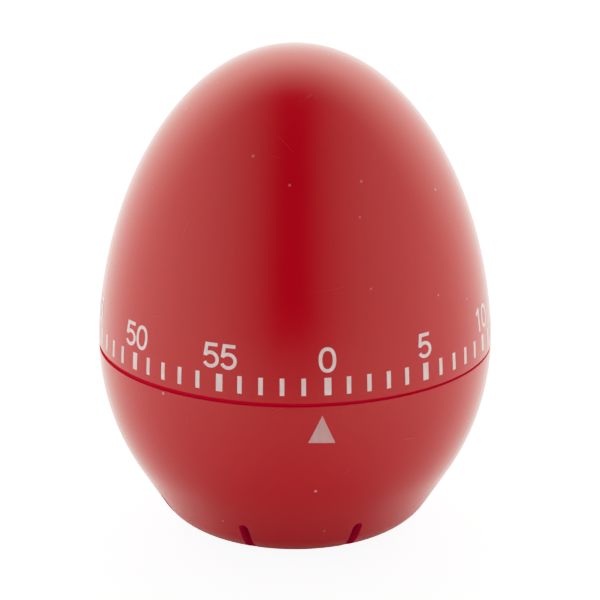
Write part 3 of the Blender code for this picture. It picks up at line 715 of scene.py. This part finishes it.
def straight(start, end, pieces):
    """Even points from a start to an end."""
    return [Vector(start).lerp(Vector(end), step / pieces) for step in range(pieces + 1)]


def curved(centre, half_width, half_height, start, end, steps=20):
    """Part of an ellipse between two angles in degrees."""
    points = []
    for step in range(steps + 1):
        angle = math.radians(start + (end - start) * step / steps)
        points.append((centre[0] + half_width * math.cos(angle), centre[1] + half_height * math.sin(angle)))
    return points


def digit_strokes(digit):
    """The centre lines of a digit's strokes about its middle, in millimetres. The nought's line is a ring."""
    top = NUMBER_HEIGHT - STROKE / 2
    foot = STROKE / 2
    middle = NUMBER_HEIGHT / 2
    side = 1.0
    if digit == 0:
        ring = []
        for step in range(40):
            angle = math.tau * step / 40
            c, s = math.cos(angle), math.sin(angle)
            x = math.copysign(abs(c) ** 0.88, c) * side
            y = math.copysign(abs(s) ** 0.88, s) * (top - foot) / 2
            ring.append((x, middle + y))
        return [ring]
    if digit == 1:
        stem = straight((0.30, NUMBER_HEIGHT), (0.30, 0.0), 8)
        flag = straight((-0.62, 2.78), (0.30, 3.36), 5)
        return [stem, flag]
    if digit == 2:
        bend = curved((0, top - 0.98), side, 0.98, 168, -22)
        slope = straight((0.80, 2.02), (-0.86, 0.32), 8)
        bar = straight((-1.20, foot), (1.18, foot), 8)
        return [bend + slope, bar]
    if digit == 3:
        upper = curved((-0.03, top - 0.80), 0.92, 0.80, 158, -88)
        lower = curved((-0.03, foot + 0.91), side, 0.91, 92, -160)
        tongue = straight((-0.42, 1.98), (0.05, 1.98), 3)
        return [upper, lower, tongue]
    if digit == 4:
        stem = straight((0.52, NUMBER_HEIGHT), (0.52, 0.0), 8)
        bar = straight((-1.24, 1.02), (1.18, 1.02), 8)
        slope = straight((-1.06, 1.06), (0.44, 3.56), 8)
        return [stem, bar, slope]
    bar = straight((-0.80, top), (0.96, top), 7)
    back = straight((-0.66, NUMBER_HEIGHT - 0.02), (-0.93, 1.68), 6)
    bowl = curved((-0.04, foot + 0.98), 1.04, 0.98, 146, -154, 26)
    return [bar, back, bowl]


def mark_bearing(minute):
    """Where a minute's mark stands. The printed steps within a group of five are slightly narrow."""
    heavy, step = divmod(minute, 5)
    return ZERO_AT + heavy * 5 * 360 / MINUTES + step * MINUTE_STEP


def make_number(minute, material):
    """One number, centred on its mark."""
    digits = [int(letter) for letter in str(minute)]
    mesh = bmesh.new()
    for place, digit in enumerate(digits):
        across = (place - (len(digits) - 1) / 2) * DIGIT_PITCH + NUMBER_SHIFT
        for order, path in enumerate(digit_strokes(digit)):
            moved = [(point[0] + across, point[1] + NUMBER_LOW) for point in path]
            lift = INK_THICKNESS * (1 + 0.1 * order)
            ribbon(mesh, moved, STROKE, mark_bearing(minute), dial_radius, lift, closed=digit == 0)
    new_piece(f"number_{minute:02d}", mesh, "dial", material)


def make_marks(name, minutes, width, material):
    """The strokes of the minute scale."""
    mesh = bmesh.new()
    for minute in minutes:
        line = straight((0, MARK_LOW), (0, MARK_HIGH), 8)
        ribbon(mesh, line, width, mark_bearing(minute), dial_radius, INK_THICKNESS)
    new_piece(name, mesh, "dial", material)


def make_pointer(material):
    """The printed triangle on the base."""
    mesh = bmesh.new()
    columns = range(POINTER_COLUMNS)
    tops, feet = [], []
    for row in range(POINTER_ROWS + 1):
        share = row / POINTER_ROWS
        up = POINTER_APEX + (POINTER_FOOT - POINTER_APEX) * share
        half = POINTER_WIDTH / 2 * share
        across = [half * (2 * step / POINTER_COLUMNS - 1) for step in range(POINTER_COLUMNS + 1)]
        if row == 0:
            across = [0.0]
        for lines, lift in ((tops, INK_THICKNESS), (feet, -INK_THICKNESS)):
            row_points = [on_shell(x, up - POINTER_LEAN * x, 0.0, base_radius, lift) for x in across]
            lines.append([mesh.verts.new(point) for point in row_points])
    for lines in (tops, feet):
        for one, two in zip(lines, lines[1:]):
            for step in columns:
                corners = (one[step], one[step + 1]) if len(one) > 1 else (one[0],)
                mesh.faces.new((*corners, two[step + 1], two[step]))
    for edge in (0, -1):
        for row in range(POINTER_ROWS):
            mesh.faces.new((tops[row][edge], tops[row + 1][edge], feet[row + 1][edge], feet[row][edge]))
    for step in columns:
        mesh.faces.new((tops[-1][step], tops[-1][step + 1], feet[-1][step + 1], feet[-1][step]))
    new_piece("pointer_mark", mesh, "base", material)


def make_scale():
    """The minute marks and numbers on the dial, and the pointer on the base."""
    ink = print_ink("scale_ink", (0.92, 0.77, 0.78), (0.80, 0.60, 0.60))
    pointer_ink = print_ink("pointer_ink", (0.68, 0.41, 0.41), (0.60, 0.33, 0.32))
    heavy = range(0, MINUTES, 5)
    make_marks("five_minute_marks", heavy, MARK_WIDE, ink)
    make_marks("minute_marks", [m for m in range(MINUTES) if m % 5], MARK_THIN, ink)
    for minute in heavy:
        make_number(minute, ink)
    make_pointer(pointer_ink)


# ---------------------------------------------------------------- clockwork finishes

def dress_clockwork():
    """Gives every carried-over node the worked metal of its slot."""
    brass = metal("worked_brass", (0.72, 0.47, 0.17), (0.42, 0.24, 0.08), (0.22, 0.40), 900, (1, 1, 6))
    turned = metal("turned_steel", (0.58, 0.58, 0.60), (0.30, 0.29, 0.28), (0.20, 0.36), 1400, (1, 1, 9))
    blued = metal("blued_steel", (0.10, 0.14, 0.26), (0.05, 0.06, 0.09), (0.22, 0.34), 700, (1, 1, 5))
    rolled = metal("rolled_plate", (0.66, 0.65, 0.62), (0.40, 0.40, 0.38), (0.30, 0.46), 500, (8, 1, 1))
    plated = metal("plated_bell", (0.76, 0.74, 0.70), (0.50, 0.47, 0.42), (0.10, 0.20), 300)
    finishes = {
        "brass": brass,
        "steel": turned,
        "spring_steel": blued,
        "plate_steel": rolled,
        "bell_steel": plated,
    }
    slots = {entry["node"]: entry["material_slot"] for entry in frame["record"]["subparts"]}
    for name, thing in frame["nodes"].items():
        if slots[name] in finishes:
            thing.data.materials.clear()
            thing.data.materials.append(finishes[slots[name]])


# ---------------------------------------------------------------- stage, light, camera

def make_floor():
    """Three discs in place of one table. The camera sees only the first, which glows to reach a pure white.
    Diffuse light comes back only from the second, and gloss shows only the third, which fades outwards."""
    lit = Nodes(bpy.data.materials.new("floor_white"))
    lit.set(Base_Color=(0.26, 0.26, 0.27), Roughness=0.8)
    lit.set(Emission_Color=(1.0, 1.0, 1.0), Emission_Strength=1.45)
    plain = Nodes(bpy.data.materials.new("floor_plain"))
    plain.set(Base_Color=(0.88, 0.88, 0.90), Roughness=0.8)
    near = Nodes(bpy.data.materials.new("floor_near"))
    reach = near.node("ShaderNodeVectorMath", operation="LENGTH")
    near.link(near.place, reach.inputs[0])
    near.set(Base_Color=(0.60, 0.60, 0.60), Roughness=0.8)
    near.set(Alpha=near.ranged(reach.outputs["Value"], PATCH_CORE, PATCH_RADIUS, 1.0, 0.0))

    floor = add_disc("floor", FLOOR_RADIUS, -0.01 * MM, lit.owner)
    bounce = add_disc("floor_bounce", FLOOR_RADIUS, -0.02 * MM, plain.owner)
    patch = add_disc("floor_patch", PATCH_RADIUS, -0.005 * MM, near.owner)
    for disc in (floor, bounce, patch):
        disc.visible_camera = disc == floor
        disc.visible_diffuse = disc == bounce
        disc.visible_glossy = disc == patch
        disc.visible_shadow = False


def add_disc(name, radius, height, material):
    """A flat disc of the stage."""
    mesh = bmesh.new()
    bmesh.ops.create_circle(mesh, cap_ends=True, radius=radius, segments=FLOOR_STEPS)
    disc = object_of(name, mesh)
    disc.data.materials.append(material)
    disc.location.z = height
    return disc


def make_light():
    """A white light tent: bright at the back, dimmer to the front, with a dark gap that runs up overhead."""
    nodes = Nodes(bpy.data.worlds.new("light_tent"))
    bpy.context.scene.world = nodes.owner
    rise = nodes.along((0.0, 0.0, 1.0))
    forward = nodes.along((math.sin(TENT_GAP), -math.cos(TENT_GAP), 0.0))
    across = nodes.along((math.cos(TENT_GAP), math.sin(TENT_GAP), 0.0))
    sides = nodes.curve(nodes.math("ABSOLUTE", across), TENT_SIDES)
    sides = nodes.math("MULTIPLY", sides, nodes.math("SUBTRACT", 1.0, nodes.math("MULTIPLY", across, 0.06)))
    back = nodes.ranged(rise, 0.0, 0.7, 1.95, 2.9)
    behind = nodes.ranged(forward, -0.05, -0.60, 0.0, 1.0)
    walls = nodes.math("ADD", sides, nodes.math("MULTIPLY", behind, nodes.math("SUBTRACT", back, sides)))
    fall = nodes.math("MULTIPLY", rise, -1.0)
    kept = nodes.curve(fall, TENT_KEPT)
    table = nodes.curve(fall, TENT_TABLE)
    level = nodes.math("ADD", nodes.math("MULTIPLY", walls, kept), table)
    background = nodes.tree.nodes["Background"]
    nodes.link(nodes.mix(behind, (1.0, 0.985, 0.95), (1.0, 0.965, 0.89)), background.inputs["Color"])
    nodes.link(level, background.inputs["Strength"])


def make_camera():
    """The camera at the photograph's angle."""
    data = bpy.data.cameras.new("camera")
    data.lens = LENS
    data.sensor_width = SENSOR_WIDTH
    camera = bpy.data.objects.new("camera", data)
    bpy.context.scene.collection.objects.link(camera)
    back = Vector((
        math.sin(CAMERA_AZIMUTH) * math.cos(CAMERA_ELEVATION),
        -math.cos(CAMERA_AZIMUTH) * math.cos(CAMERA_ELEVATION),
        math.sin(CAMERA_ELEVATION),
    ))
    middle = Vector((0, 0, PARTING))
    right = Vector((0, 0, 1)).cross(back).normalized()
    up = back.cross(right)
    camera.location = middle + back * CAMERA_DISTANCE
    aim = middle + up * AIM_RAISE + right * AIM_RIGHT
    camera.rotation_mode = "QUATERNION"
    camera.rotation_quaternion = (aim - camera.location).to_track_quat("-Z", "Y")
    data.clip_start = 0.01
    bpy.context.scene.camera = camera


def set_film():
    """A plain view transform whose highlights roll off, as a photograph's do."""
    settings = bpy.context.scene.view_settings
    settings.view_transform = "Standard"
    settings.use_curve_mapping = True
    mapping = settings.curve_mapping
    mapping.white_level = (FILM_WHITE, FILM_WHITE, FILM_WHITE)
    set_stops(mapping.curves[3], [(light / FILM_WHITE, shown) for light, shown in FILM_RESPONSE])
    mapping.update()


make_camera()
make_dial(red_plastic("dial_red", 1), matt_plastic("dial_matt", 3))
make_base(red_plastic("base_red", 2), matt_plastic("base_matt", 4))
make_scale()
dress_clockwork()
make_floor()
make_light()
set_film()
